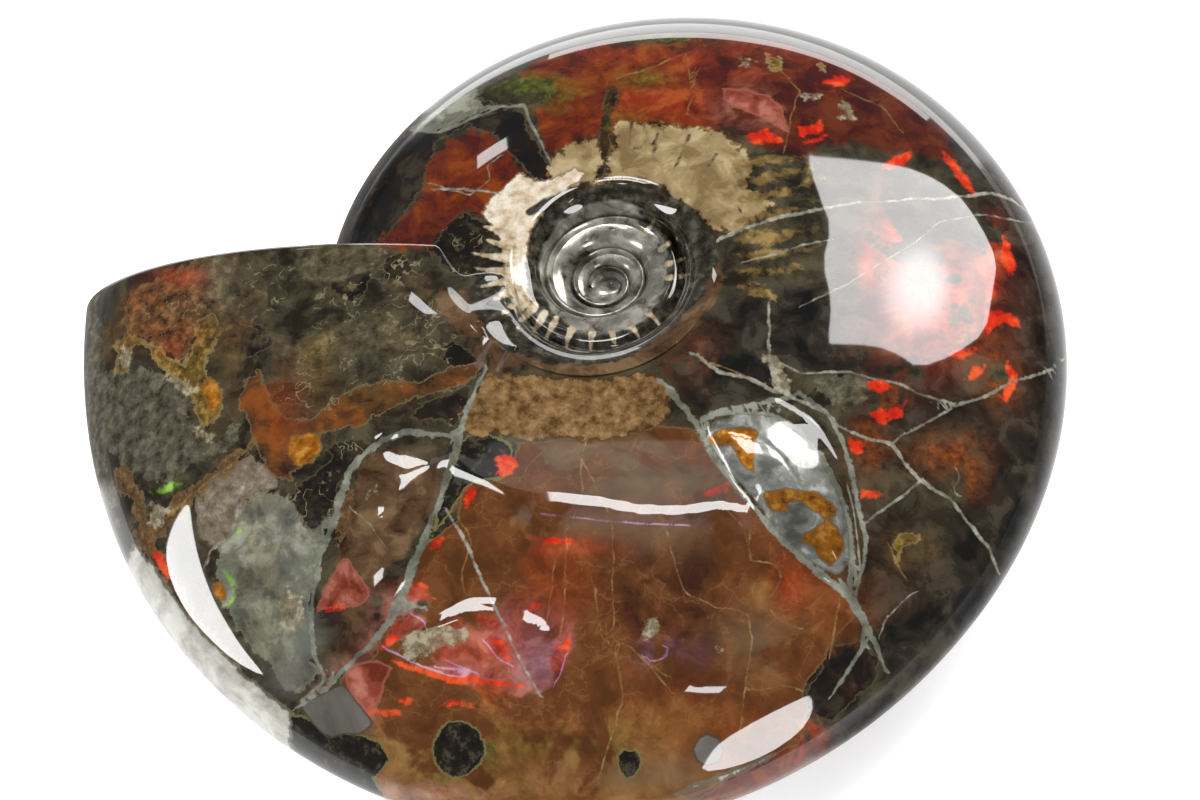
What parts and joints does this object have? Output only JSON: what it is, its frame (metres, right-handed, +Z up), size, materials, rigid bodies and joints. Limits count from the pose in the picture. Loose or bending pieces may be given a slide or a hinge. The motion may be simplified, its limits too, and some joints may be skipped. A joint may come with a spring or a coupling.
{
  "type": "polished ammonite fossil",
  "caption": "Polished coiled ammonite fossil lying on its flank, with brown, grey-green and fiery red stone, pale veins and a spiral umbilicus.",
  "frame": {"origin": "on the surface it lies on, under the middle of its bounding box", "axes": "+Z up from the surface it lies on, -X towards the mouth, -Y towards the lowest part of the outer whorl as seen in the picture"},
  "size_m": [0.1278, 0.1134, 0.0332],
  "materials": {
    "polished_fossil": "polished to a high gloss"
  },
  "bodies": {
    "root": {"ammonite": "polished_fossil"}
  },
  "joints": []
}
